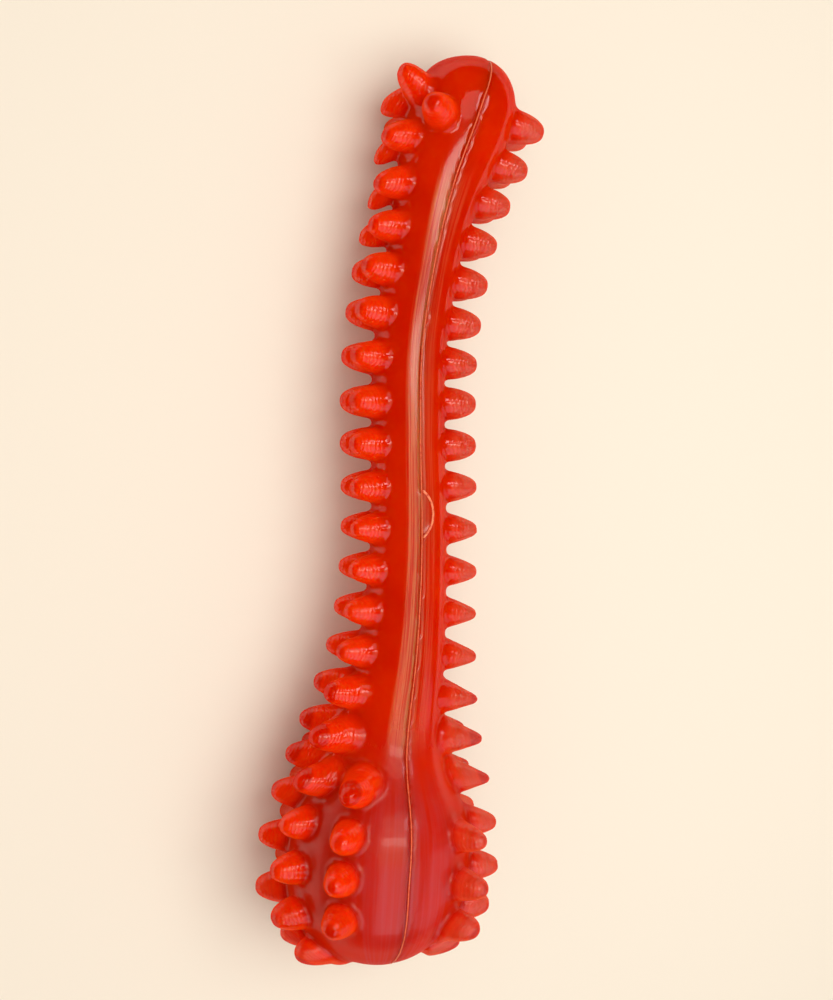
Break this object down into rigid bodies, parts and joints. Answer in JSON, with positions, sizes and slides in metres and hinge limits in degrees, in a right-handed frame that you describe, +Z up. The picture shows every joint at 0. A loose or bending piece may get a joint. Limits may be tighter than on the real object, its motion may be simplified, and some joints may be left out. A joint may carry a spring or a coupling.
{
  "type": "rubber chew toy",
  "caption": "Spiked rubber chew stick: a slim, gently bent shaft with a small knob at one end and a large bulb at the other, and rows of blunt nubs down both flanks.",
  "frame": {"origin": "on the floor under the middle of the toy's bounding box", "axes": "+Y along the toy from the bulb to the knob, +Z up from the floor, +X towards the half with the gate scar"},
  "size_m": [0.0506, 0.19, 0.0409],
  "materials": {
    "rubber": "glossy translucent thermoplastic rubber"
  },
  "bodies": {
    "root": {"left_half": "rubber", "right_half": "rubber"}
  },
  "joints": []
}
